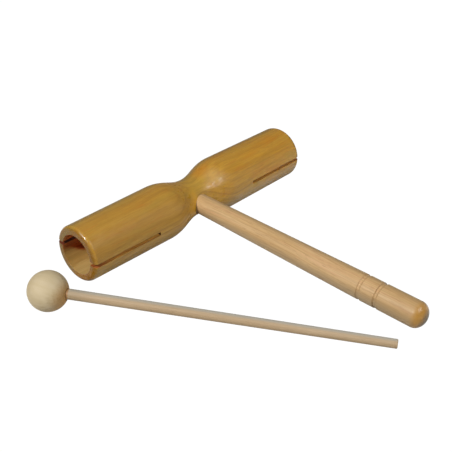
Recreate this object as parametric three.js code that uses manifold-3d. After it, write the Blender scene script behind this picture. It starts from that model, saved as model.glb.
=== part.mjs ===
// A tubular woodblock: one turned block with a bore and a slit in each end, a turned handle
// glued into its narrow neck, and the wooden beater that lies beside it.
// Millimetres, +Z up. The set lies on the plane z = 0, with the origin under its middle.
// The block's axis runs along X, and the handle points to -Y.
import * as THREE from 'three';
import { mergeVertices } from 'three/addons/utils/BufferGeometryUtils.js';
import Module from 'manifold-3d';

const wasm = await Module();
wasm.setup();

// Tone block, outside
const block_length = 200;
const shoulder_radius = 19.6;       // the fullest part, where a barrel meets the neck
const barrel_taper = 0.45;          // radius lost from the shoulder to the rim
const neck_radius = 13.5;
const shoulder_reach = 29.9;        // from the handle's axis to each shoulder
const neck_curve_share = 0.387;     // of shoulder_reach, how far the neck's curve stays slim
const shoulder_curve_share = 0.433; // of shoulder_reach, how far the shoulder's curve stays full

// Tone block, bores and slits
const barrel_wall = 5.55;           // at the rim
const rim_flat = 1.3;               // flat ring left on each end
const mouth_chamfer = 0.3;
const near_bore_floor = 26;         // from the handle's axis to the floor of the deeper bore
const far_bore_floor = 38;          // the same for the shallower bore
const slit_width = 2.4;
const near_slit_land = 19.2;        // bored length that the near slit leaves whole
const far_slit_land = 8.1;
const near_slit_lift = 1.2;         // the near saw cut passes this far above the block's axis
const near_slit_tilt = 8.5;         // degrees, its front edge low; the far cut is level

// Handle
const handle_length = 194.1;        // from the block's axis to the tip
const handle_neck_radius = 6.9;
const handle_grip_radius = 8.4;
const handle_dome = 6.9;            // length of the rounded tip
const handle_end_chamfer = 0.6;
const socket_wall = 8;              // wood left behind the handle's inner end
const tip_to_groove = 31.3;         // from the tip to the nearer turned groove
const groove_spacing = 12.2;
const groove_width = 2.4;
const tip_groove_depth = 0.85;
const inner_groove_depth = 0.6;

// Beater
const ball_radius = 12.8;
const ball_to_rim = 18;             // along X, from the near rim to the ball
const ball_to_axis = 10.5;          // along Y, from the block's axis to the ball's centre
const tip_to_grip = 15.8;           // along X, from the handle's grip to the middle of the stick's tip
const stick_reach = 209.6;          // from the ball's centre to the tip
const stick_ball_radius = 3.35;
const stick_tip_radius = 2.8;
const stick_edge = 0.6;             // broken edge at both ends
const ball_socket_wall = 11.6;      // wood left behind the stick's inner end

// Fits
const glue_gap = 0.3;               // round the stick's glued end, and behind both glued ends
const socket_slack = 0.55;          // round the handle's glued end
const socket_drop = 0.25;           // how far the hole's middle lies below the handle's axis
const overrun = 5;                  // how far a cutter reaches past what it cuts

// Facets
const block_sides = 64;
const handle_sides = 40;
const ball_sides = 40;
const stick_sides = 24;
const neck_steps = 9;
const rim_steps = 5;
const dome_steps = 7;
const groove_steps = 4;
const ball_steps = 20;

const quarter_turn = Math.PI / 2;
const half_block = block_length / 2;
const rim_radius = shoulder_radius - barrel_taper;
const bore_radius = rim_radius - barrel_wall;
const rim_rounding = barrel_wall - mouth_chamfer - rim_flat;
const block_height = shoulder_radius;

function material(color, roughness) {
  return new THREE.MeshStandardMaterial({ color, roughness, metalness: 0 });
}
const amber_varnish = material(0xb88a3e, 0.3);
const waxed_dowel = material(0xc9a169, 0.5);
const bare_ball = material(0xd8c49a, 0.75);
const bare_stick = material(0xd6bc8c, 0.75);

// A body of shared vertices, with the empty triangles at a lathe's poles left out.
function closedBody(geometry) {
  geometry.deleteAttribute('normal');
  geometry.deleteAttribute('uv');
  const body = mergeVertices(geometry);
  const corners = body.index.array;
  const kept = [];
  for (let i = 0; i < corners.length; i += 3) {
    const [a, b, c] = corners.slice(i, i + 3);
    if (a !== b && b !== c && c !== a) kept.push(a, b, c);
  }
  body.setIndex(kept);
  return body;
}

// A piece turned about +Y, from an outline of [distance along the axis, radius] that runs upwards.
function turned(outline, sides) {
  const points = outline.map(([along, radius]) => new THREE.Vector2(radius, along));
  return closedBody(new THREE.LatheGeometry(points, sides));
}

function toSolid(geometry) {
  return new wasm.Manifold(new wasm.Mesh({
    numProp: 3,
    vertProperties: new Float32Array(geometry.attributes.position.array),
    triVerts: new Uint32Array(geometry.index.array),
  }));
}

function toGeometry(solid) {
  const mesh = solid.getMesh();
  const geometry = new THREE.BufferGeometry();
  geometry.setAttribute('position', new THREE.BufferAttribute(mesh.vertProperties, mesh.numProp));
  geometry.setIndex(new THREE.BufferAttribute(mesh.triVerts, 1));
  return geometry;
}

// Points of an elliptical quarter, from its side to its end.
function quarterRound(start, side, length, depth, steps) {
  const points = [];
  for (let i = 0; i <= steps; i++) {
    const angle = quarter_turn * i / steps;
    points.push([start + length * Math.sin(angle), side - depth + depth * Math.cos(angle)]);
  }
  return points;
}

// The angle at which a straight piece, carried at a height, meets the ground at its far end.
function slopeToGround(height, reach, radius) {
  return Math.asin(height / Math.hypot(reach, radius)) - Math.atan2(radius, reach);
}

// One half of the block's outline, from the neck over the shoulder and the rim to the bore's floor.
function halfOutline(bore_floor) {
  const ease = new THREE.CubicBezierCurve(
    new THREE.Vector2(0, neck_radius),
    new THREE.Vector2(shoulder_reach * neck_curve_share, neck_radius),
    new THREE.Vector2(shoulder_reach * (1 - shoulder_curve_share), shoulder_radius),
    new THREE.Vector2(shoulder_reach, shoulder_radius),
  );
  const neck = ease.getPoints(neck_steps).map((point) => [point.x, point.y]);
  const rim = quarterRound(half_block - rim_rounding, rim_radius, rim_rounding, rim_rounding, rim_steps);
  return [
    ...neck,
    ...rim,
    [half_block, bore_radius + mouth_chamfer],
    [half_block - mouth_chamfer, bore_radius],
    [bore_floor, bore_radius],
    [bore_floor, 0],
  ];
}

// The saw's cut: a slab right across one barrel, from past the rim to the slit's inner end.
function sawCut(end, inner_end, lift, tilt) {
  const length = half_block + overrun - inner_end;
  const breadth = 2 * (shoulder_radius + overrun);
  const slab = new THREE.BoxGeometry(length, breadth, slit_width);
  slab.translate(end * (inner_end + length / 2), 0, 0);
  slab.rotateX(THREE.MathUtils.degToRad(tilt));
  slab.translate(0, 0, lift);
  return toSolid(closedBody(slab));
}

const handle_drop = slopeToGround(block_height, handle_length - handle_dome, handle_grip_radius);
const socket_floor = socket_wall - neck_radius;

function handleSocket() {
  const radius = handle_neck_radius + socket_slack;
  const mouth = shoulder_radius + overrun;
  const outline = [[socket_floor, 0], [socket_floor, radius], [mouth, radius], [mouth, 0]];
  const drill = turned(outline, handle_sides);
  drill.rotateX(Math.PI + handle_drop);
  drill.translate(0, 0, -socket_drop);
  return toSolid(drill);
}

function toneBlock() {
  const near = halfOutline(near_bore_floor).map(([along, radius]) => [-along, radius]);
  const far = halfOutline(far_bore_floor);
  const blank = turned([...near.reverse(), ...far.slice(1)], block_sides);
  blank.rotateZ(-quarter_turn);
  const near_cut = sawCut(-1, near_bore_floor + near_slit_land, near_slit_lift, near_slit_tilt);
  const far_cut = sawCut(1, far_bore_floor + far_slit_land, 0, 0);
  const body = toSolid(blank).subtract(near_cut).subtract(far_cut).subtract(handleSocket());
  return toGeometry(body);
}

// A round-bottomed groove turned into the grip.
function groove(centre, depth) {
  const points = [];
  for (let i = 0; i <= groove_steps; i++) {
    const angle = Math.PI * i / groove_steps;
    points.push([
      centre - groove_width / 2 * Math.cos(angle),
      handle_grip_radius - depth * Math.sin(angle),
    ]);
  }
  return points;
}

function handleBody() {
  const inner_end = socket_floor + glue_gap;
  const tip_groove = handle_length - tip_to_groove;
  const dome_start = handle_length - handle_dome;
  return turned([
    [inner_end, 0],
    [inner_end, handle_neck_radius - handle_end_chamfer],
    [inner_end + handle_end_chamfer, handle_neck_radius],
    [neck_radius, handle_neck_radius],
    ...groove(tip_groove - groove_spacing, inner_groove_depth),
    ...groove(tip_groove, tip_groove_depth),
    ...quarterRound(dome_start, handle_grip_radius, handle_dome, handle_grip_radius, dome_steps),
  ], handle_sides);
}

const ball_socket_floor = ball_socket_wall - ball_radius;

// A ball with a blind hole for the stick, turned about the stick's axis.
function beaterHead() {
  const hole = stick_ball_radius + glue_gap;
  const mouth_angle = Math.asin(hole / ball_radius);
  const outline = [];
  for (let i = 0; i <= ball_steps; i++) {
    const angle = Math.PI - (Math.PI - mouth_angle) * i / ball_steps;
    outline.push([ball_radius * Math.cos(angle), ball_radius * Math.sin(angle)]);
  }
  outline[0][1] = 0;
  outline.push([ball_socket_floor, hole], [ball_socket_floor, 0]);
  return turned(outline, ball_sides);
}

function beaterStick() {
  const inner_end = ball_socket_floor + glue_gap;
  return turned([
    [inner_end, 0],
    [inner_end, stick_ball_radius - stick_edge],
    [inner_end + stick_edge, stick_ball_radius],
    [ball_radius, stick_ball_radius],
    [stick_reach - stick_edge, stick_tip_radius],
    [stick_reach, stick_tip_radius - stick_edge],
    [stick_reach, 0],
  ], stick_sides);
}

function piece(name, geometry, finish) {
  const mesh = new THREE.Mesh(geometry, finish);
  mesh.name = name;
  return mesh;
}

// The block and its handle
const instrument = new THREE.Group();
instrument.position.z = block_height;
instrument.add(piece('tone_block', toneBlock(), amber_varnish));
const handle_group = new THREE.Group();
handle_group.rotation.x = Math.PI + handle_drop;
handle_group.add(piece('handle', handleBody(), waxed_dowel));
instrument.add(handle_group);

// The beater, its ball and the tip of its stick both on the ground. The ball lies off the near rim,
// and the stick is turned so that its tip lies off the handle's grip.
const ball_x = -half_block - ball_to_rim - ball_radius;
const tip_x = -handle_grip_radius - tip_to_grip;
const stick_slope = slopeToGround(ball_radius, stick_reach - stick_edge, stick_tip_radius);
const stick_run = stick_reach * Math.cos(stick_slope);
const stick_heading = -Math.acos((tip_x - ball_x) / stick_run);
const beater = new THREE.Group();
beater.position.set(ball_x, -ball_to_axis, ball_radius);
beater.rotation.z = stick_heading - quarter_turn;
const sloped = new THREE.Group();
sloped.rotation.x = -stick_slope;
sloped.add(piece('beater_head', beaterHead(), bare_ball));
sloped.add(piece('beater_stick', beaterStick(), bare_stick));
beater.add(sloped);

// The whole set, moved so that the origin lies on the ground under its middle
const set = new THREE.Group();
set.add(instrument, beater);
const extent = new THREE.Box3().setFromObject(set, true);
const middle = extent.getCenter(new THREE.Vector3());
set.position.set(-middle.x, -middle.y, -extent.min.z);

const woodblock = new THREE.Group();
woodblock.add(set);

export default woodblock;
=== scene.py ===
"""A two-tone tubular woodblock of varnished wood, its turned handle and its ball-headed beater."""

import math

import bmesh
import bpy
from mathutils import Matrix, Vector
from mathutils.geometry import interpolate_bezier


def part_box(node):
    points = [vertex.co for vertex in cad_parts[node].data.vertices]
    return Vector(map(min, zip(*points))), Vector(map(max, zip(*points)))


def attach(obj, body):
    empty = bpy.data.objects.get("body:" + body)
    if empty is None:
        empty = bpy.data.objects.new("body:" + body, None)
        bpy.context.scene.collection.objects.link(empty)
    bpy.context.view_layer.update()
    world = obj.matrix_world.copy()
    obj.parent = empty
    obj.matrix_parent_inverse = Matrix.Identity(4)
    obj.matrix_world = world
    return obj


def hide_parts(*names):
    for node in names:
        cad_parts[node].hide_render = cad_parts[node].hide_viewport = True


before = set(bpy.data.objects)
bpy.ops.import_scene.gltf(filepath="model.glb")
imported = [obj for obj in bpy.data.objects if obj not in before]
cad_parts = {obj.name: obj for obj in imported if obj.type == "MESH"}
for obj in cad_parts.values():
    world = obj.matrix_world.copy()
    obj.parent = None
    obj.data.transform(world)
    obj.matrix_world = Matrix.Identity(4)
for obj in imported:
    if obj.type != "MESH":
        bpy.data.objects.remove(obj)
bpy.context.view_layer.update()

MM = 0.001

# What the frame gives: where the block's and the handle's axes cross, and where the ball lies
block_low, block_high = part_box("tone_block")
handle_low, handle_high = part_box("handle")
ball_low, ball_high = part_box("beater_head")
WAIST = (block_low + block_high) / 2
WAIST.x = (handle_low.x + handle_high.x) / 2
HALF_BLOCK = (block_high.x - block_low.x) / 2
SHOULDER_RADIUS = (block_high.z - block_low.z) / 2
GRIP_RADIUS = (handle_high.x - handle_low.x) / 2
BALL_CENTRE = (ball_low + ball_high) / 2

# Tone block
BARREL_TAPER = 0.45 * MM
NECK_RADIUS = 13.5 * MM
SHOULDER_REACH = 29.9 * MM
NECK_CURVE_SHARE = 0.387
SHOULDER_CURVE_SHARE = 0.433
BARREL_WALL = 5.55 * MM
NEAR_RIM_FLAT = 2.3 * MM
FAR_RIM_FLAT = 1.1 * MM
MOUTH_EDGE = 0.3 * MM
BORE_CORNER = 0.6 * MM
NEAR_BORE_FLOOR = 26 * MM
FAR_BORE_FLOOR = 38 * MM
SLIT_WIDTH = 2.4 * MM
NEAR_SLIT_END = 45.2 * MM
FAR_SLIT_END = 46.1 * MM
NEAR_SLIT_LIFT = 1.2 * MM
NEAR_SLIT_TILT = 8.5   # degrees, its front edge low
CUT_EDGE = 0.16 * MM   # how far the varnish rounds the lips of the cuts
CUT_ROOM = 0.3 * MM    # the turned surface's own lines keep this far from a lip
OVERRUN = 5 * MM       # how far a cutter reaches past the wood
WELD = 0.001 * MM      # points closer than this are merged

# Handle
HANDLE_LENGTH = 194.1 * MM
HANDLE_NECK_RADIUS = 6.9 * MM
HANDLE_DOME = 6.9 * MM
HANDLE_END_EDGE = 0.6 * MM
SOCKET_FLOOR = -5.5 * MM
SOCKET_SLACK = 0.32 * MM
SOCKET_DROP = 0.24 * MM    # the hole lies so much below the handle, so that the gap shows under it
SOCKET_SHIFT = 0.08 * MM   # and so much towards the near barrel
TIP_GROOVE = 162.8 * MM
INNER_GROOVE = 150.6 * MM
GROOVE_WIDTH = 2.4 * MM
TIP_GROOVE_DEPTH = 0.85 * MM
INNER_GROOVE_DEPTH = 0.6 * MM
GROOVE_LIP = 0.25 * MM
GROOVE_LIP_DROP_SHARE = 0.03
GROOVE_ARC = 75        # degrees to each side of the groove's bottom

# Beater
BALL_RADIUS = 12.8 * MM
TIP_FROM_HANDLE = 24.2 * MM   # along X, from the handle's axis to the middle of the tip
STICK_REACH = 209.6 * MM
STICK_BALL_RADIUS = 3.35 * MM
STICK_TIP_RADIUS = 2.8 * MM
STICK_EDGE = 0.6 * MM
BALL_SOCKET_FLOOR = -1.2 * MM
BALL_HOLE_EDGE = 0.12 * MM
BALL_HOLE_SLACK = 0.12 * MM
GLUE_GAP = 0.3 * MM
BALL_GRAIN_TURN = 9    # degrees between the ball's grain and the stick, seen from above
BALL_GRAIN_DIP = 10    # and seen from the side

# How finely the pieces are turned: sides all round, and steps along the curves of their outlines
BLOCK_SIDES = 240
HANDLE_SIDES = 128
BALL_SIDES = 128
STICK_SIDES = 64
SOCKET_SIDES = 120
NECK_POINTS = 48
RIM_STEPS = 16
GROOVE_STEPS = 10
DOME_STEPS = 28
BALL_STEPS = 64
EDGE_STEPS = 4
STICK_END_STEPS = 3
STICK_TIP_STEPS = 6
STRAIGHT_STEP = 6 * MM
BLOCK_SHARP_ANGLE = 40     # degrees
TURNED_SHARP_ANGLE = 50

# Derived sizes
RIM_RADIUS = SHOULDER_RADIUS - BARREL_TAPER
BORE_RADIUS = RIM_RADIUS - BARREL_WALL


def slope_to_ground(height, reach, radius):
    """The angle at which a straight piece, carried at a height, meets the ground at its far end."""
    return math.asin(height / math.hypot(reach, radius)) - math.atan2(radius, reach)


def pointing(origin, heading, slope):
    """The place of a piece whose X axis starts at the origin, turned to a heading and sloping down."""
    return (
        Matrix.Translation(origin)
        @ Matrix.Rotation(heading, 4, "Z")
        @ Matrix.Rotation(slope, 4, "Y")
    )


BLOCK_PLACE = Matrix.Translation(WAIST)
HANDLE_DROP = slope_to_ground(WAIST.z, HANDLE_LENGTH - HANDLE_DOME, GRIP_RADIUS)
HANDLE_PLACE = pointing(WAIST, -math.pi / 2, HANDLE_DROP)
STICK_SLOPE = slope_to_ground(BALL_CENTRE.z, STICK_REACH - STICK_EDGE, STICK_TIP_RADIUS)
STICK_RUN = STICK_REACH * math.cos(STICK_SLOPE)
STICK_HEADING = -math.acos((WAIST.x - TIP_FROM_HANDLE - BALL_CENTRE.x) / STICK_RUN)
BEATER_PLACE = pointing(BALL_CENTRE, STICK_HEADING, STICK_SLOPE)
BALL_GRAIN_PLACE = pointing(
    BALL_CENTRE,
    STICK_HEADING - math.radians(BALL_GRAIN_TURN),
    STICK_SLOPE + math.radians(BALL_GRAIN_DIP),
)


class Wire:
    """A socket of a finish. A sum written on it adds the Math nodes that work it out."""

    def __init__(self, nodes, socket):
        self.nodes = nodes
        self.socket = socket

    def __add__(self, other):
        return self.nodes.maths("ADD", self, other)

    def __sub__(self, other):
        return self.nodes.maths("SUBTRACT", self, other)

    def __rsub__(self, other):
        return self.nodes.maths("SUBTRACT", other, self)

    def __mul__(self, other):
        return self.nodes.maths("MULTIPLY", self, other)

    def __truediv__(self, other):
        return self.nodes.maths("DIVIDE", self, other)

    def __pow__(self, other):
        return self.nodes.maths("POWER", self, other)


class Nodes:
    """The nodes of a finish, or of the room's light, while they are being laid out."""

    def __init__(self, tree):
        self.tree = tree

    def node(self, kind, settings, inputs, give=0):
        """Adds a node, sets its settings and then its sockets, and gives back one of its outputs."""
        made = self.tree.nodes.new(kind)
        for key, value in settings.items():
            setattr(made, key, value)
        for key, value in inputs.items():
            if isinstance(value, Wire):
                self.tree.links.new(value.socket, made.inputs[key])
            else:
                made.inputs[key].default_value = value
        return Wire(self, made.outputs[give]) if made.outputs else made

    def maths(self, operation, *values):
        return self.node("ShaderNodeMath", {"operation": operation}, dict(enumerate(values)))

    def vectors(self, operation, first, second, give=0):
        return self.node("ShaderNodeVectorMath", {"operation": operation}, {0: first, 1: second}, give)

    def between(self, value, low, high):
        """0 below low, 1 above high, and a smooth step between them."""
        settings = {"interpolation_type": "SMOOTHSTEP"}
        inputs = {"Value": value, "From Min": low, "From Max": high}
        return self.node("ShaderNodeMapRange", settings, inputs)

    def blend(self, first, second, share):
        """The first colour, turning into the second as the share goes from 0 to 1."""
        settings = {"data_type": "RGBA", "clamp_factor": True}
        return self.node("ShaderNodeMix", settings, {0: share, 6: first, 7: second}, 2)

    def layered(self, colour, layers):
        """A colour with others laid over it in turn, each one given with its share."""
        for over, share in layers:
            colour = self.blend(colour, over, share)
        return colour

    def noise(self, spot, along, across, detail=2.0, seed=0.0):
        """Noise from 0 to 1, of so many waves a millimetre along and across the grain."""
        moved = self.vectors("ADD", spot, (seed, seed, seed))
        inputs = {
            "Vector": self.vectors("MULTIPLY", moved, (along, across, across)),
            "Scale": 1.0,
            "Detail": detail,
        }
        return self.node("ShaderNodeTexNoise", {}, inputs)

    def split(self, spot):
        """The X, Y and Z of a place."""
        parted = self.node("ShaderNodeSeparateXYZ", {}, {0: spot}).socket.node
        return [Wire(self, parted.outputs[i]) for i in range(3)]

    def join(self, x, y, z):
        return self.node("ShaderNodeCombineXYZ", {}, {0: x, 1: y, 2: z})


class Grain:
    """The figure of a piece of wood, in the piece's own place, in mm, with X along the grain."""

    DRIFT = 7.0      # mm to the side along the piece
    LEAN = 0.012     # mm that the rings lean out for each mm along the piece
    RIPPLE = 1.1     # mm that a ring's edge wavers

    def __init__(self, nodes, place, pith, ring_width):
        self.nodes = nodes
        inputs = {
            "Vector": nodes.node("ShaderNodeTexCoord", {}, {}, "Object"),
            "Location": place.to_translation(),
            "Rotation": place.to_euler(),
            "Scale": (MM, MM, MM),
        }
        self.spot = nodes.node("ShaderNodeMapping", {"vector_type": "TEXTURE"}, inputs)
        self.turn = place.to_3x3()
        self.along = self.turn.col[0].copy()
        self.wander()
        self.rings = self.growth_rings(pith, ring_width)

    def wander(self):
        """The grain drifts a little to the side along the piece."""
        nodes = self.nodes
        x, y, z = nodes.split(self.spot)
        sideways = nodes.noise(self.spot, along=0.011, across=0.03, detail=1.0, seed=31.0) - 0.5
        upwards = nodes.noise(self.spot, along=0.011, across=0.03, detail=1.0, seed=67.0) - 0.5
        self.fibre_spot = nodes.join(x, y + sideways * self.DRIFT, z + upwards * self.DRIFT)

    def growth_rings(self, pith, ring_width):
        """The darker late wood at the edge of each growth ring round a pith beside the piece, 0 to 1."""
        nodes = self.nodes
        x, y, z = nodes.split(self.fibre_spot)
        lean = x * self.LEAN
        out = nodes.maths("SQRT", (y - pith[0] + lean) ** 2.0 + (z - pith[1] - lean) ** 2.0)
        ripple = nodes.noise(self.spot, along=0.05, across=0.3, detail=2.0, seed=57.0) - 0.5
        ring = (out + ripple * self.RIPPLE) / ring_width
        tooth = nodes.maths("FRACT", ring)
        late = nodes.between(tooth, 0.5, 0.92) * (1.0 - nodes.between(tooth, 0.92, 1.0))
        years = nodes.maths("FLOOR", ring)
        heavy = nodes.node("ShaderNodeTexWhiteNoise", {"noise_dimensions": "1D"}, {"W": years})
        cloudy = nodes.noise(self.spot, along=0.012, across=0.05, detail=1.0, seed=83.0)
        patchy = nodes.between(cloudy, 0.3, 0.7)
        return late * (heavy * 0.7 + 0.3) * (patchy * 0.6 + 0.4)

    def streaks(self, along, across, low, high, detail=3.0, seed=0.0):
        """Noise drawn out along the grain, from 0 below the low share to 1 above the high one."""
        nodes = self.nodes
        return nodes.between(nodes.noise(self.fibre_spot, along, across, detail, seed), low, high)

    def around(self, middle, core, reach):
        """1 in the core of a round place, 0 beyond its reach."""
        distance = self.nodes.vectors("DISTANCE", self.spot, middle, 1)
        return 1.0 - self.nodes.between(distance, core, reach)

    def facing(self, way, low, high):
        """0 where the surface faces away from a direction, 1 where it faces it."""
        nodes = self.nodes
        normal = nodes.node("ShaderNodeTexCoord", {}, {}, "Normal")
        return nodes.between(nodes.vectors("DOT_PRODUCT", normal, tuple(way), 1), low, high)

    def side(self, way, low, high):
        """The same for a direction in the piece's own place."""
        return self.facing(self.turn @ Vector(way), low, high)

    def end(self, low, high):
        """1 where the wood is cut square across the grain, 0 where the surface runs along it."""
        return self.facing(self.along, low, high) + self.facing(-self.along, low, high)

    def bump(self, height, depth, strength):
        inputs = {"Strength": strength, "Distance": depth, "Height": height}
        return self.nodes.node("ShaderNodeBump", {}, inputs)


def finish(name, surface):
    """A material whose surface is laid out by the given function."""
    material = bpy.data.materials.new(name)
    material.use_nodes = True
    nodes = Nodes(material.node_tree)
    nodes.tree.nodes.clear()
    nodes.node("ShaderNodeOutputMaterial", {}, {"Surface": surface(nodes)})
    return material


def linear(red, green, blue):
    """A colour as nodes take it, from the 0 to 255 values of a picture."""
    def one(value):
        share = value / 255
        return share / 12.92 if share <= 0.04045 else ((share + 0.055) / 1.055) ** 2.4
    return (one(red), one(green), one(blue), 1.0)


BLOCK_PITH = (31.0, -38.0)    # mm from the block's axis, across the grain
BLOCK_RING = 2.4              # mm
HANDLE_PITH = (17.0, 24.0)
HANDLE_RING = 2.1
BALL_PITH = (-15.0, 12.0)
BALL_RING = 1.5
STICK_PITH = (7.0, 9.0)
STICK_RING = 1.3
STAIN_MIDDLE = (12.5, 1.0, 16.0)    # mm from the middle of the neck, on the far shoulder
# The painted highlight and the rougher varnish on the far shoulder lie round this place.
HAZE_AND_PAINTED_HIGHLIGHT_MIDDLE = (15.6, -9.6, 13.7)


def block_wood(grain, pale, deep, late, fleck):
    """The block's wood: broad bands, growth rings, fine fibres, flecks and dark pores."""
    nodes = grain.nodes
    side = 1.0 - grain.end(0.3, 0.9)
    bands = grain.streaks(along=0.008, across=0.11, low=0.3, high=0.7, detail=2.0, seed=13.0)
    fibres = grain.streaks(along=0.022, across=0.9, low=0.38, high=0.72)
    flecks = grain.streaks(along=0.06, across=0.8, low=0.55, high=0.7, detail=2.0, seed=7.0)
    pores = grain.streaks(along=0.2, across=3.0, low=0.57, high=0.68, detail=1.0, seed=19.0)
    return nodes.layered(pale, [
        (deep, bands * 0.8),
        (late, grain.rings * 0.8),
        (late, fibres * side * 0.36),
        (fleck, flecks * side * 0.4),
        (late, pores * side * 0.34),
    ])


def barrel_tints(grain, farther):
    """Orange and olive patches, with painted shade on the near barrel's front and at the back, and
    painted shade and a painted grey floor reflection below.
    """
    nodes = grain.nodes
    orange = linear(196, 118, 26)
    olive = linear(160, 140, 60)
    painted_shade_brown = linear(152, 106, 42)
    shade_and_sheen_olive = linear(120, 104, 60)
    shade_and_reflection_grey = linear(126, 122, 94)
    patches = nodes.noise(grain.spot, along=0.035, across=0.11, detail=2.0, seed=59.0)
    # Painted shade: the near barrel's front, where the front lamp's sheen falls, is dulled brown.
    front = grain.side((0.0, -0.82, 0.57), 0.86, 1.0)
    # Painted shade and a greyer painted sheen on the upper back side, away from the lamps.
    back = grain.side((0.0, 0.64, 0.77), 0.8, 1.0)
    # Painted shade and a painted grey reflection of the floor on the underside, more on the far barrel.
    under = grain.side((0.0, -0.7, -0.71), 0.75, 1.0)
    return [
        (orange, nodes.between(patches, 0.52, 0.76) * (farther * 0.3 + 0.1)),
        (olive, nodes.between(1.0 - patches, 0.54, 0.7) * 0.22),
        (painted_shade_brown, front * (1.0 - farther) * 0.25),
        (shade_and_sheen_olive, back * 0.5),
        (shade_and_reflection_grey, under * (farther * 0.1 + 0.3)),
    ]


def neck_tints(grain, haze_and_painted_highlight):
    """A greener waist, a stain and a painted highlight on the far shoulder, and painted light beside the
    handle where its shadow falls.
    """
    nodes = grain.nodes
    green_gold = linear(160, 142, 58)
    amber = linear(200, 124, 22)
    painted_highlight_cream = linear(208, 172, 112)
    painted_light_gold = linear(212, 161, 52)
    x, y, z = nodes.split(grain.spot)
    waist = 1.0 - nodes.between(nodes.maths("ABSOLUTE", x), 2.0, 14.0)
    from_handle = nodes.maths("SQRT", x ** 2.0 + z ** 2.0)
    painted_light_beside_root = 1.0 - nodes.between(from_handle, 8.0, 18.0)
    near_side = 1.0 - nodes.between(x, -6.0, -1.0)
    in_front = 1.0 - nodes.between(y, -12.0, -5.0)
    return [
        (green_gold, waist * 0.2),
        (amber, grain.around(STAIN_MIDDLE, 2.0, 10.0) * 0.36),
        # Painted highlight: a cream patch where the far shoulder's gloss shines.
        (painted_highlight_cream, haze_and_painted_highlight * 0.34),
        # Painted light: the block beside the handle's root, where the handle's shadow falls, is lightened
        # gold.
        (painted_light_gold, painted_light_beside_root * near_side * in_front * 0.85),
    ]


def soaked_rim(grain):
    """The end grain took up more varnish. It is darker and blotched, and greener at the back."""
    nodes = grain.nodes
    low_amber = linear(154, 104, 14)
    high_brown = linear(140, 99, 34)
    green_brown = linear(131, 107, 54)
    red_brown = linear(128, 76, 22)
    y, z = nodes.split(grain.spot)[1:]
    blotches = nodes.noise(grain.spot, along=0.3, across=0.3, detail=2.0, seed=47.0)
    return nodes.layered(low_amber, [
        (high_brown, nodes.between(z, -12.0, 4.0)),
        (green_brown, nodes.between(y, -3.0, 10.0) * 0.85),
        (red_brown, nodes.between(blotches, 0.45, 0.7) * 0.5),
    ])


def varnished_outside(nodes):
    """Varnish over wood that is olive in the near barrel and gold in the far one."""
    grain = Grain(nodes, BLOCK_PLACE, BLOCK_PITH, BLOCK_RING)
    x = nodes.split(grain.spot)[0]
    farther = nodes.between(x, -60.0, 60.0)
    # This round place is rougher and also carries the painted highlight.
    haze_and_painted_highlight = grain.around(HAZE_AND_PAINTED_HIGHLIGHT_MIDDLE, 1.0, 10.5)
    wood = block_wood(
        grain,
        pale=nodes.blend(linear(191, 149, 64), linear(201, 153, 57), farther),
        deep=nodes.blend(linear(180, 133, 50), linear(190, 138, 45), farther),
        late=linear(152, 106, 42),
        fleck=linear(186, 116, 42),
    )
    colour = nodes.layered(wood, [
        *barrel_tints(grain, farther),
        *neck_tints(grain, haze_and_painted_highlight),
        (soaked_rim(grain), grain.end(0.4, 1.0) * 0.95),
    ])
    pores = grain.streaks(along=0.2, across=3.0, low=0.55, high=0.7, detail=1.0, seed=19.0)
    brushed = nodes.noise(grain.spot, along=0.15, across=0.24, detail=1.0, seed=5.0)
    cloudy = nodes.noise(grain.spot, along=0.2, across=0.34, detail=2.0, seed=93.0)
    uneven = nodes.between(cloudy, 0.38, 0.62)
    return nodes.node("ShaderNodeBsdfPrincipled", {}, {
        "Base Color": colour,
        "Roughness": uneven * 0.18 - grain.end(0.1, 0.6) * 0.16 + haze_and_painted_highlight * 0.14 + 0.32,
        "Specular IOR Level": 0.4,
        "Normal": grain.bump(brushed * 7.0 - pores * 0.4, depth=0.06 * MM, strength=0.5),
    })


def bored_inside(nodes):
    """The bores' lower walls are pale wood. Above the edge of the mouth's shadow they are painted
    red-brown shade.
    """
    grain = Grain(nodes, BLOCK_PLACE, BLOCK_PITH, BLOCK_RING)
    x, y, z = nodes.split(grain.spot)
    from_waist = nodes.maths("ABSOLUTE", x)
    drips = nodes.noise(grain.spot, along=0.1, across=0.22, detail=2.0, seed=71.0) * 4.0
    # Painted shade: above a line that slants down into the bore along the edge of the mouth's shadow, the
    # wood is painted red-brown.
    below_painted_shadow_edge = 1.0 - nodes.between(z - from_waist * 0.46 + drips, -46.2, -43.2)
    front = 1.0 - nodes.between(y, 0.0, 9.0)
    pale = nodes.blend(linear(211, 174, 104), linear(210, 180, 116), front)
    deep = nodes.blend(linear(198, 156, 84), linear(196, 162, 94), front)
    # The first colour of each pair is the painted red-brown shade, the second the pale wood below the
    # shadow's edge.
    wood = block_wood(
        grain,
        pale=nodes.blend(linear(202, 108, 48), pale, below_painted_shadow_edge),
        deep=nodes.blend(linear(184, 88, 36), deep, below_painted_shadow_edge),
        late=nodes.blend(linear(160, 68, 26), linear(184, 146, 78), below_painted_shadow_edge),
        fleck=nodes.blend(linear(164, 66, 26), linear(182, 132, 60), below_painted_shadow_edge),
    )
    light_brown = linear(206, 142, 76)
    dark_brown = linear(120, 60, 24)
    lip = nodes.between(from_waist, 96.5, 99.0) * nodes.between(z, -6.0, 2.0)
    colour = nodes.layered(wood, [
        (light_brown, lip * 0.8),
        (dark_brown, grain.end(0.3, 0.95) * 0.7),
    ])
    streaky = grain.streaks(along=0.03, across=0.6, low=0.2, high=0.8)
    scored = nodes.noise(grain.spot, along=1.4, across=0.05, detail=2.0, seed=41.0)
    return nodes.node("ShaderNodeBsdfPrincipled", {}, {
        "Base Color": colour,
        "Roughness": streaky * 0.1 + 0.34,
        "Normal": grain.bump(scored, depth=0.05 * MM, strength=0.5),
    })


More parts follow.
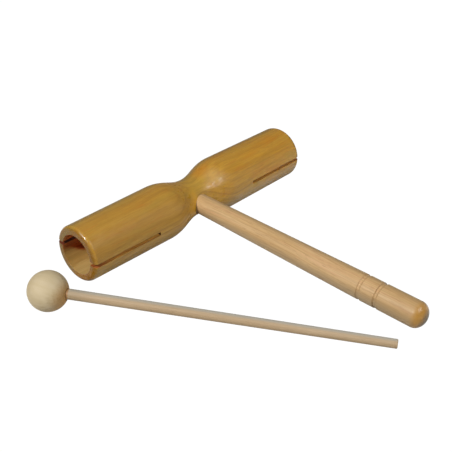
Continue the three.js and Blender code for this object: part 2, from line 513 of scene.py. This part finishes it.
def sawn_faces(nodes):
    """Olive-brown in the cuts, scorched red towards the rims, with painted shade, nearly black, where the
    saw stopped.
    """
    grain = Grain(nodes, BLOCK_PLACE, BLOCK_PITH, BLOCK_RING)
    x, y = nodes.split(grain.spot)[:2]
    scorched = nodes.between(nodes.maths("ABSOLUTE", x - 4.0), 85.0, 102.0)
    wood = block_wood(
        grain,
        pale=nodes.blend(linear(216, 162, 76), linear(182, 108, 52), scorched),
        deep=nodes.blend(linear(204, 144, 62), linear(150, 80, 36), scorched),
        late=nodes.blend(linear(166, 108, 44), linear(112, 48, 18), scorched),
        fleck=nodes.blend(linear(196, 118, 50), linear(138, 60, 26), scorched),
    )
    purple_brown = linear(104, 44, 34)
    painted_shade_black = linear(64, 36, 12)
    mid_brown = linear(132, 78, 30)
    sawn = nodes.noise(grain.spot, along=1.1, across=0.1, detail=2.0, seed=23.0)
    colour = nodes.layered(wood, [
        (purple_brown, nodes.between(y, 6.0, 14.0) * scorched * 0.7),
        # Painted shade: the closed end of each slit is painted nearly black.
        (painted_shade_black, grain.end(0.3, 0.9) * 0.9),
        (mid_brown, nodes.between(sawn, 0.5, 0.7) * 0.3),
    ])
    return nodes.node("ShaderNodeBsdfPrincipled", {}, {
        "Base Color": colour,
        "Roughness": 0.5,
        "Normal": grain.bump(sawn, depth=0.08 * MM, strength=0.6),
    })


def handle_wood(grain):
    """Pale tan wood: broad bands, growth rings, pink and brown fibres, dark pores and end grain."""
    tan = linear(208, 173, 124)
    deep_tan = linear(198, 160, 106)
    ring_brown = linear(176, 134, 80)
    pink = linear(202, 152, 112)
    fibre_brown = linear(166, 126, 76)
    pore_brown = linear(150, 106, 62)
    end_brown = linear(150, 112, 70)
    bands = grain.streaks(along=0.007, across=0.16, low=0.3, high=0.7, detail=2.0, seed=13.0)
    blushes = grain.streaks(along=0.02, across=0.6, low=0.5, high=0.7, detail=2.0, seed=37.0)
    fibres = grain.streaks(along=0.03, across=1.1, low=0.42, high=0.72)
    pores = grain.streaks(along=0.16, across=2.6, low=0.57, high=0.7, detail=1.0, seed=19.0)
    return grain.nodes.layered(tan, [
        (deep_tan, bands),
        (ring_brown, grain.rings * 0.46),
        (pink, blushes * 0.4),
        (fibre_brown, fibres * 0.48),
        (pore_brown, pores * 0.36),
        (end_brown, grain.end(0.2, 0.7) * 0.5),
    ])


def waxed_handle(nodes):
    """Tan wood with painted shade on its front and below, painted shade and sheen on its upper back, and
    painted shade towards the tip. The tip's end grain is amber, with painted shade and a painted grey
    reflection low on its end.
    """
    grain = Grain(nodes, HANDLE_PLACE, HANDLE_PITH, HANDLE_RING)
    x = nodes.split(grain.spot)[0]
    painted_shade_tan = linear(143, 131, 107)
    shade_and_sheen_tan = linear(150, 134, 104)
    tip_shade_brown = linear(172, 138, 90)
    amber = linear(179, 130, 54)
    shade_and_reflection_tip_grey = linear(106, 88, 64)
    # Painted shade: the front and lower side is greyed, more towards the tip.
    shaded = grain.side((0.0, -0.8, -0.6), 0.4, 1.0)
    # Painted shade and a painted grey sheen on the upper back side.
    shade_and_sheen_behind = grain.side((0.0, 0.5, 0.87), 0.76, 1.0)
    # Painted shade and a painted grey reflection where the tip's dome faces down and to the right.
    low_tip_shade_and_reflection = grain.side((0.9, 0.25, -0.35), 0.54, 0.9)
    towards_tip = nodes.between(x, 110.0, 180.0)
    tip = nodes.between(x, (HANDLE_LENGTH - HANDLE_DOME) / MM - 1.0, HANDLE_LENGTH / MM - 2.5)
    colour = nodes.layered(handle_wood(grain), [
        (painted_shade_tan, shaded * (towards_tip * 0.2 + 0.4)),
        (shade_and_sheen_tan, shade_and_sheen_behind * 0.3),
        # Painted shade: the grip is darker towards the tip.
        (tip_shade_brown, nodes.between(x, 150.0, 182.0) * 0.36),
        (amber, tip * 0.85),
        (shade_and_reflection_tip_grey, low_tip_shade_and_reflection * 0.82),
    ])
    pores = grain.streaks(along=0.16, across=2.6, low=0.55, high=0.72, detail=1.0, seed=19.0)
    fibres = nodes.noise(grain.fibre_spot, along=0.03, across=1.6, detail=2.0, seed=3.0)
    return nodes.node("ShaderNodeBsdfPrincipled", {}, {
        "Base Color": colour,
        "Roughness": fibres * 0.16 - tip * 0.18 + 0.42,
        "Specular IOR Level": 0.4,
        "Normal": grain.bump(fibres - pores * 0.7, depth=0.04 * MM, strength=0.6),
    })


def bare_ball(nodes):
    """Smooth pale wood, with painted shade below and towards the stick, and amber round the hole."""
    grain = Grain(nodes, BALL_GRAIN_PLACE, BALL_PITH, BALL_RING)
    cream = linear(199, 181, 146)
    deep_cream = linear(193, 174, 136)
    ring_brown = linear(176, 150, 104)
    fibre_brown = linear(150, 122, 72)
    painted_shade_ball_brown = linear(150, 122, 78)
    amber_towards_stick = linear(170, 118, 32)
    # Painted shade on the side facing the stick and down; the fibre lines also show more there.
    grain_and_painted_shade_side = grain.facing(grain.along + Vector((0, 0, -0.8)), -0.2, 0.9)
    bands = grain.streaks(along=0.02, across=0.25, low=0.3, high=0.7, detail=2.0, seed=13.0)
    lines = grain.streaks(along=0.08, across=1.1, low=0.42, high=0.7)
    colour = nodes.layered(cream, [
        (deep_cream, bands),
        (ring_brown, grain.rings * 0.05),
        (fibre_brown, lines * (grain_and_painted_shade_side * 0.42 + 0.03)),
        (painted_shade_ball_brown, grain_and_painted_shade_side ** 2.0 * 0.16),
        # Amber on the side of the ball where the stick enters.
        (amber_towards_stick, grain.facing(grain.along, 0.45, 1.05) * 0.74),
    ])
    fibres = nodes.noise(grain.fibre_spot, along=0.15, across=2.2, detail=2.0, seed=3.0)
    return nodes.node("ShaderNodeBsdfPrincipled", {}, {
        "Base Color": colour,
        "Roughness": fibres * 0.1 + 0.6,
        "Normal": grain.bump(fibres, depth=0.05 * MM, strength=0.6),
    })


def bare_dowel(nodes):
    """Pale dowel with a painted grey sheen above and painted shade from the ball near it, stained by the
    glue where it enters.
    """
    grain = Grain(nodes, BEATER_PLACE, STICK_PITH, STICK_RING)
    x = nodes.split(grain.spot)[0]
    beige = linear(184, 159, 126)
    deep_beige = linear(174, 147, 110)
    ring_brown = linear(166, 136, 98)
    fibre_brown = linear(164, 134, 98)
    painted_sheen_grey = linear(176, 176, 166)
    painted_shade_brown = linear(140, 124, 96)
    glue_brown = linear(150, 104, 48)
    end_brown = linear(170, 146, 112)
    bands = grain.streaks(along=0.01, across=0.3, low=0.3, high=0.7, detail=2.0, seed=13.0)
    lines = grain.streaks(along=0.04, across=1.6, low=0.42, high=0.72)
    colour = nodes.layered(beige, [
        (deep_beige, bands),
        (ring_brown, grain.rings * 0.24),
        (fibre_brown, lines * 0.35),
        # Painted sheen: the upper side is greyed silver.
        (painted_sheen_grey, grain.facing(Vector((0.1, 0.5, 0.86)), 0.4, 0.95) * 0.8),
        # Painted shadow of the ball on the stick near it.
        (painted_shade_brown, (1.0 - nodes.between(x, 13.0, 36.0)) * 0.4),
        (glue_brown, (1.0 - nodes.between(x, 13.2, 14.0)) * 0.85),
        (end_brown, grain.end(0.5, 0.95) * 0.6),
    ])
    fibres = nodes.noise(grain.fibre_spot, along=0.05, across=2.6, detail=2.0, seed=3.0)
    return nodes.node("ShaderNodeBsdfPrincipled", {}, {
        "Base Color": colour,
        "Roughness": fibres * 0.12 + 0.5,
        "Normal": grain.bump(fibres, depth=0.04 * MM, strength=0.3),
    })


OUTSIDE, BORED, SAWN = range(3)
BLOCK_FINISHES = [
    finish("varnished_outside", varnished_outside),
    finish("bored_inside", bored_inside),
    finish("sawn_faces", sawn_faces),
]


def arc(along, out, reach, rise, start, stop, steps):
    """Points of an elliptical arc, its angles in degrees: 0 is straight out and 90 along the axis."""
    points = []
    for i in range(steps + 1):
        angle = math.radians(start + (stop - start) * i / steps)
        points.append((along + reach * math.sin(angle), out + rise * math.cos(angle)))
    return points


def straight(start, stop):
    """A straight stretch of an outline without its last point, in steps that keep the faces short."""
    start, stop = Vector(start), Vector(stop)
    steps = math.ceil((stop - start).length / STRAIGHT_STEP)
    return [tuple(start.lerp(stop, i / steps)) for i in range(steps)]


def spun(outline, sides):
    """A closed bmesh turned about X from an outline of (along, radius) that starts and ends on it."""
    work = bmesh.new()
    points = [work.verts.new((along, 0, radius)) for along, radius in outline]
    lines = [work.edges.new(pair) for pair in zip(points, points[1:])]
    bmesh.ops.spin(
        work,
        geom=points + lines,
        cent=(0, 0, 0),
        axis=(1, 0, 0),
        angle=2 * math.pi,
        steps=sides,
        use_merge=True,
    )
    bmesh.ops.remove_doubles(work, verts=work.verts, dist=WELD)
    bmesh.ops.recalc_face_normals(work, faces=work.faces)
    return work


def piece(name, work, finishes):
    """An object made from a bmesh, with its finishes."""
    mesh = bpy.data.meshes.new(name)
    work.to_mesh(mesh)
    work.free()
    for material in finishes:
        mesh.materials.append(material)
    made = bpy.data.objects.new(name, mesh)
    bpy.context.scene.collection.objects.link(made)
    return made


def smoothed(made, sharp_angle):
    """Shades a piece smooth between its sharp edges, its flat faces kept flat."""
    made.data.shade_smooth()
    made.data.set_sharp_from_angle(angle=math.radians(sharp_angle))
    weights = made.modifiers.new("flat_faces", "WEIGHTED_NORMAL")
    weights.keep_sharp = True
    return made


def half_outline(bore_floor, rim_flat):
    """Half of the block's outline, from its neck over the shoulder and the rim to the bore's floor."""
    rounding = BARREL_WALL - MOUTH_EDGE - rim_flat
    neck = interpolate_bezier(
        Vector((0, NECK_RADIUS)),
        Vector((SHOULDER_REACH * NECK_CURVE_SHARE, NECK_RADIUS)),
        Vector((SHOULDER_REACH * (1 - SHOULDER_CURVE_SHARE), SHOULDER_RADIUS)),
        Vector((SHOULDER_REACH, SHOULDER_RADIUS)),
        NECK_POINTS,
    )
    mouth = BORE_RADIUS + MOUTH_EDGE
    corner = BORE_RADIUS - BORE_CORNER
    return [
        *[tuple(point) for point in neck],
        *arc(HALF_BLOCK - rounding, RIM_RADIUS - rounding, rounding, rounding, 0, 90, RIM_STEPS),
        *arc(HALF_BLOCK - MOUTH_EDGE, mouth, MOUTH_EDGE, MOUTH_EDGE, 90, 180, EDGE_STEPS),
        *arc(bore_floor + BORE_CORNER, corner, BORE_CORNER, BORE_CORNER, 0, -90, EDGE_STEPS),
        (bore_floor, 0),
    ]


def saw_cut(name, end, inner_end, lift, tilt):
    """The slab of wood that the saw takes out of one barrel."""
    length = HALF_BLOCK + OVERRUN - inner_end
    breadth = 2 * (SHOULDER_RADIUS + OVERRUN)
    work = bmesh.new()
    bmesh.ops.create_cube(work, size=1)
    bmesh.ops.scale(work, vec=(length, breadth, SLIT_WIDTH), verts=work.verts)
    bmesh.ops.translate(work, vec=(end * (inner_end + length / 2), 0, 0), verts=work.verts)
    turn = Matrix.Rotation(math.radians(tilt), 3, "X")
    bmesh.ops.rotate(work, cent=(0, 0, 0), matrix=turn, verts=work.verts)
    bmesh.ops.translate(work, vec=(0, 0, lift), verts=work.verts)
    return piece(name, work, BLOCK_FINISHES)


def socket_drill():
    """The blind hole for the handle, in the block's own place."""
    radius = HANDLE_NECK_RADIUS + SOCKET_SLACK
    mouth = SHOULDER_RADIUS + OVERRUN
    outline = [(SOCKET_FLOOR, 0), (SOCKET_FLOOR, radius), (mouth, radius), (mouth, 0)]
    work = spun(outline, SOCKET_SIDES)
    place = pointing(Vector((-SOCKET_SHIFT, 0, -SOCKET_DROP)), -math.pi / 2, HANDLE_DROP)
    bmesh.ops.transform(work, matrix=place, verts=work.verts)
    return piece("socket_drill", work, BLOCK_FINISHES)


def cut_out(body, cutters):
    """Takes the cutters' shapes out of a piece. The faces that they leave are sawn ones."""
    for cutter in cutters:
        for face in cutter.data.polygons:
            face.material_index = SAWN
        cut = body.modifiers.new(cutter.name, "BOOLEAN")
        cut.operation = "DIFFERENCE"
        cut.solver = "EXACT"
        cut.object = cutter
    bpy.context.view_layer.update()
    ready = body.evaluated_get(bpy.context.evaluated_depsgraph_get())
    mesh = bpy.data.meshes.new_from_object(ready)
    body.modifiers.clear()
    body.data = mesh
    for cutter in cutters:
        bpy.data.objects.remove(cutter)


def put_in_order(work):
    """Sorts a bmesh by place, because the cuts leave it in another order each run."""
    def place(point):
        return tuple(round(value / MM, 4) for value in point)

    def places(element):
        return sorted(place(vert.co) for vert in element.verts)

    ordered = [
        (work.verts, sorted(work.verts, key=lambda vert: place(vert.co))),
        (work.edges, sorted(work.edges, key=places)),
        (work.faces, sorted(work.faces, key=places)),
    ]
    for kind, elements in ordered:
        for row, element in enumerate(elements):
            element.index = row
        kind.sort()


def lips_of(work):
    """The edges where a sawn face meets the varnished outside."""
    return [
        edge
        for edge in work.edges
        if sorted(face.material_index for face in edge.link_faces) == [OUTSIDE, SAWN]
    ]


def round_the_lips(body):
    """Clears away the surface's own lines close to the edges of the cuts, and rounds those edges."""
    work = bmesh.new()
    work.from_mesh(body.data)
    put_in_order(work)
    kept = list(dict.fromkeys(point for edge in lips_of(work) for point in edge.verts))
    close = bmesh.ops.find_doubles(work, verts=work.verts, keep_verts=kept, dist=CUT_ROOM)
    bmesh.ops.weld_verts(work, targetmap=close["targetmap"])
    bmesh.ops.dissolve_degenerate(work, dist=WELD, edges=work.edges)
    bmesh.ops.bevel(
        work,
        geom=lips_of(work),
        affect="EDGES",
        offset=CUT_EDGE,
        segments=2,
        profile=0.5,
        material=-1,
        clamp_overlap=True,
    )
    work.to_mesh(body.data)
    work.free()


def tone_block():
    near = [(-along, radius) for along, radius in half_outline(NEAR_BORE_FLOOR, NEAR_RIM_FLAT)]
    far = half_outline(FAR_BORE_FLOOR, FAR_RIM_FLAT)
    work = spun([*reversed(near), *far[1:]], BLOCK_SIDES)
    inside = BORE_RADIUS + MOUTH_EDGE / 4
    for face in work.faces:
        middle = face.calc_center_median()
        if abs(middle.x) > NEAR_BORE_FLOOR - MOUTH_EDGE and middle.yz.length < inside:
            face.material_index = BORED
    block = piece("tone_block_turned", work, BLOCK_FINISHES)
    near_cut = saw_cut("near_cut", -1, NEAR_SLIT_END, NEAR_SLIT_LIFT, NEAR_SLIT_TILT)
    far_cut = saw_cut("far_cut", 1, FAR_SLIT_END, 0, 0)
    cut_out(block, [near_cut, far_cut, socket_drill()])
    round_the_lips(block)
    block.data.transform(BLOCK_PLACE)
    return smoothed(block, BLOCK_SHARP_ANGLE)


def groove(centre, depth):
    """A round-bottomed groove turned into the grip, its lips rounded over."""
    half = GROOVE_WIDTH / 2
    lip = GRIP_RADIUS - depth * GROOVE_LIP_DROP_SHARE
    return [
        (centre - half - GROOVE_LIP, GRIP_RADIUS),
        (centre - half - GROOVE_LIP / 3, lip),
        *arc(centre, GRIP_RADIUS, half, -depth, -GROOVE_ARC, GROOVE_ARC, GROOVE_STEPS),
        (centre + half + GROOVE_LIP / 3, lip),
        (centre + half + GROOVE_LIP, GRIP_RADIUS),
    ]


def turned_handle():
    inner_end = SOCKET_FLOOR + GLUE_GAP
    edge = HANDLE_END_EDGE
    inner_groove = groove(INNER_GROOVE, INNER_GROOVE_DEPTH)
    work = spun([
        (inner_end, 0),
        *arc(inner_end + edge, HANDLE_NECK_RADIUS - edge, edge, edge, -90, 0, EDGE_STEPS),
        *straight((NECK_RADIUS, HANDLE_NECK_RADIUS), inner_groove[0]),
        *inner_groove,
        *groove(TIP_GROOVE, TIP_GROOVE_DEPTH),
        *arc(HANDLE_LENGTH - HANDLE_DOME, 0, HANDLE_DOME, GRIP_RADIUS, 0, 90, DOME_STEPS),
    ], HANDLE_SIDES)
    bmesh.ops.transform(work, matrix=HANDLE_PLACE, verts=work.verts)
    handle = piece("handle_turned", work, [finish("waxed_handle", waxed_handle)])
    return smoothed(handle, TURNED_SHARP_ANGLE)


def beater_ball():
    hole = STICK_BALL_RADIUS + BALL_HOLE_SLACK
    mouth = math.degrees(math.asin((hole + BALL_HOLE_EDGE) / BALL_RADIUS))
    mouth_along = BALL_RADIUS * math.cos(math.radians(mouth))
    work = spun([
        *arc(0, 0, BALL_RADIUS, BALL_RADIUS, -90, 90 - mouth, BALL_STEPS),
        (mouth_along - BALL_HOLE_EDGE / 4, hole + BALL_HOLE_EDGE / 4),
        (mouth_along - BALL_HOLE_EDGE, hole),
        (BALL_SOCKET_FLOOR, hole),
        (BALL_SOCKET_FLOOR, 0),
    ], BALL_SIDES)
    bmesh.ops.transform(work, matrix=BEATER_PLACE, verts=work.verts)
    ball = piece("beater_ball", work, [finish("bare_ball", bare_ball)])
    return smoothed(ball, TURNED_SHARP_ANGLE)


def beater_dowel():
    inner_end = BALL_SOCKET_FLOOR + GLUE_GAP
    edge = STICK_EDGE
    tip = STICK_REACH - edge
    work = spun([
        (inner_end, 0),
        *arc(inner_end + edge, STICK_BALL_RADIUS - edge, edge, edge, -90, 0, STICK_END_STEPS),
        *straight((BALL_RADIUS, STICK_BALL_RADIUS), (tip, STICK_TIP_RADIUS)),
        *arc(tip, STICK_TIP_RADIUS - edge, edge, edge, 0, 90, STICK_TIP_STEPS),
        (STICK_REACH, 0),
    ], STICK_SIDES)
    bmesh.ops.transform(work, matrix=BEATER_PLACE, verts=work.verts)
    dowel = piece("beater_dowel", work, [finish("bare_dowel", bare_dowel)])
    return smoothed(dowel, TURNED_SHARP_ANGLE)


def seat(made, body, node):
    """The piece moves with its body and stands for its CAD node."""
    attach(made, body)
    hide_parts(node)


seat(tone_block(), "woodblock", "tone_block")
seat(turned_handle(), "woodblock", "handle")
seat(beater_ball(), "beater", "beater_head")
seat(beater_dowel(), "beater", "beater_stick")

# Camera, its angles in degrees
LENS = 69.39         # mm
SENSOR_WIDTH = 36    # mm
NEAREST_SEEN = 10 * MM
CAMERA_AZIMUTH = -46.0709
CAMERA_ELEVATION = 30.3084
CAMERA_ROLL = -1.6388
CAMERA_DISTANCE = 575.24 * MM
AIM_FROM_WAIST = Vector((-12.474, -47.606, 0)) * MM
AIM_HEIGHT = 20 * MM


def direction(azimuth, elevation):
    """A unit vector from the object outwards. In degrees, azimuth 0 is towards -Y and 90 towards +X."""
    around, up = math.radians(azimuth), math.radians(elevation)
    return Vector((math.sin(around) * math.cos(up), -math.cos(around) * math.cos(up), math.sin(up)))


def place_camera():
    camera = bpy.data.objects.new("camera", bpy.data.cameras.new("camera"))
    camera.data.lens = LENS
    camera.data.sensor_width = SENSOR_WIDTH
    camera.data.sensor_fit = "HORIZONTAL"
    camera.data.clip_start = NEAREST_SEEN
    back = direction(CAMERA_AZIMUTH, CAMERA_ELEVATION)
    aim = WAIST + AIM_FROM_WAIST
    aim.z = AIM_HEIGHT
    turn = (-back).to_track_quat("-Z", "Y").to_matrix().to_4x4()
    roll = Matrix.Rotation(math.radians(CAMERA_ROLL), 4, "Z")
    camera.matrix_world = Matrix.Translation(aim + back * CAMERA_DISTANCE) @ turn @ roll
    bpy.context.scene.collection.objects.link(camera)
    bpy.context.scene.camera = camera


# Lamps, in degrees, metres and watts
LAMP_DISTANCE = 1.5
LEFT_AZIMUTH = -96
LEFT_ELEVATION = 42.5
LEFT_WIDTH = 0.12
LEFT_POWER = 17.0
RIGHT_AZIMUTH = 7
RIGHT_ELEVATION = 43.5
RIGHT_WIDTH = 0.34
RIGHT_POWER = 8.8
LOW_AZIMUTH = 52
LOW_ELEVATION = 12
LOW_DISTANCE = 0.45
LOW_WIDTH = 0.25
LOW_POWER = 0.19
WALL_GLOW = 0.18
CEILING_GLOW = 0.14


def soft_box(name, azimuth, elevation, distance, width, power):
    """A square soft lamp that faces the object."""
    lamp = bpy.data.lights.new(name, "AREA")
    lamp.shape = "SQUARE"
    lamp.size = width
    lamp.energy = power
    box = bpy.data.objects.new(name, lamp)
    toward = direction(azimuth, elevation)
    box.location = toward * distance
    box.rotation_mode = "QUATERNION"
    box.rotation_quaternion = toward.to_track_quat("Z", "Y")
    box.visible_camera = False
    bpy.context.scene.collection.objects.link(box)


def light_the_room():
    """A soft lamp at the left, weaker ones at the right, and a faint glow from ceiling and rear wall."""
    world = bpy.data.worlds.new("room")
    world.use_nodes = True
    bpy.context.scene.world = world
    nodes = Nodes(world.node_tree)
    way = nodes.node("ShaderNodeTexCoord", {}, {}, "Generated")
    rearwards = nodes.vectors("DOT_PRODUCT", way, tuple(direction(CAMERA_AZIMUTH + 180, 0)), 1)
    upwards = nodes.vectors("DOT_PRODUCT", way, (0, 0, 1), 1)
    wall = nodes.maths("MAXIMUM", rearwards, 0.0) ** 2.0 * WALL_GLOW
    ceiling = nodes.maths("MAXIMUM", upwards, 0.0) ** 2.0 * CEILING_GLOW
    sky = world.node_tree.nodes["Background"]
    sky.inputs["Color"].default_value = (1, 1, 1, 1)
    world.node_tree.links.new((wall + ceiling).socket, sky.inputs["Strength"])
    soft_box("left_box", LEFT_AZIMUTH, LEFT_ELEVATION, LAMP_DISTANCE, LEFT_WIDTH, LEFT_POWER)
    soft_box("right_box", RIGHT_AZIMUTH, RIGHT_ELEVATION, LAMP_DISTANCE, RIGHT_WIDTH, RIGHT_POWER)
    soft_box("low_box", LOW_AZIMUTH, LOW_ELEVATION, LOW_DISTANCE, LOW_WIDTH, LOW_POWER)


# Floor, walls and table top
FLOOR_GLOW = 1.04
CARD_GREY = (206, 206, 206)
CARD_DEPTH = 0.2 * MM
PATCH_GLOW = 0.5
PATCH_TINT = (0.7, 0.92, 1.0, 1.0)
PATCH_LEFT = -30 * MM
PATCH_FULL = 45 * MM
PATCH_BACK = -15 * MM
PATCH_SIZE = 500 * MM
SWEEP_REACH = 2.0      # m
SWEEP_RISE = 1.5       # m
SWEEP_SIDES = 64
SWEEP_STEPS = 12


def lit_white(nodes):
    """White paper lit so evenly that the pieces cast no shadow on it."""
    return nodes.node("ShaderNodeEmission", {}, {"Strength": FLOOR_GLOW})


def bright_patch(nodes):
    """Extra light that the table sends up under the handle. It fades in from the patch's left edge."""
    x = nodes.split(nodes.node("ShaderNodeTexCoord", {}, {}, "Object"))[0]
    glow = nodes.between(x, WAIST.x + PATCH_LEFT, WAIST.x + PATCH_FULL) * PATCH_GLOW
    clear = nodes.node("ShaderNodeBsdfTransparent", {}, {})
    light = nodes.node("ShaderNodeEmission", {}, {"Color": PATCH_TINT, "Strength": glow})
    return nodes.node("ShaderNodeAddShader", {}, {0: clear, 1: light})


def matt_card(nodes):
    return nodes.node("ShaderNodeBsdfDiffuse", {}, {"Color": linear(*CARD_GREY)})


def sweep():
    """A white floor that curves up into a white wall all round. Only the camera sees it."""
    rise = arc(SWEEP_REACH, SWEEP_RISE, SWEEP_RISE, -SWEEP_RISE, 0, 90, SWEEP_STEPS)
    work = bmesh.new()
    points = [work.verts.new((reach, 0, height)) for reach, height in [(0, 0), *rise]]
    lines = [work.edges.new(pair) for pair in zip(points, points[1:])]
    bmesh.ops.spin(
        work,
        geom=points + lines,
        cent=(0, 0, 0),
        axis=(0, 0, 1),
        angle=2 * math.pi,
        steps=SWEEP_SIDES,
        use_merge=True,
    )
    bmesh.ops.remove_doubles(work, verts=work.verts, dist=WELD)
    made = piece("sweep", work, [finish("lit_white", lit_white)])
    made.data.shade_smooth()
    made.visible_diffuse = False
    made.visible_glossy = False
    made.visible_shadow = False


def table_card():
    """The table top, which throws light back on the pieces. The camera doesn't see it."""
    work = bmesh.new()
    bmesh.ops.create_grid(work, x_segments=1, y_segments=1, size=SWEEP_REACH)
    bmesh.ops.translate(work, vec=(0, 0, -CARD_DEPTH), verts=work.verts)
    made = piece("table_card", work, [finish("matt_card", matt_card)])
    made.visible_camera = False


def table_patch():
    """The brighter part of the table top, seen only as it shines in the varnish and the wax."""
    work = bmesh.new()
    bmesh.ops.create_grid(work, x_segments=1, y_segments=1, size=PATCH_SIZE / 2)
    middle = (
        WAIST.x + PATCH_LEFT + PATCH_SIZE / 2,
        WAIST.y + PATCH_BACK - PATCH_SIZE / 2,
        -CARD_DEPTH / 2,
    )
    bmesh.ops.translate(work, vec=middle, verts=work.verts)
    made = piece("table_patch", work, [finish("bright_patch", bright_patch)])
    made.visible_camera = False
    made.visible_diffuse = False
    made.visible_shadow = False


place_camera()
sweep()
table_card()
table_patch()
light_the_room()
bpy.context.scene.view_settings.view_transform = "Standard"
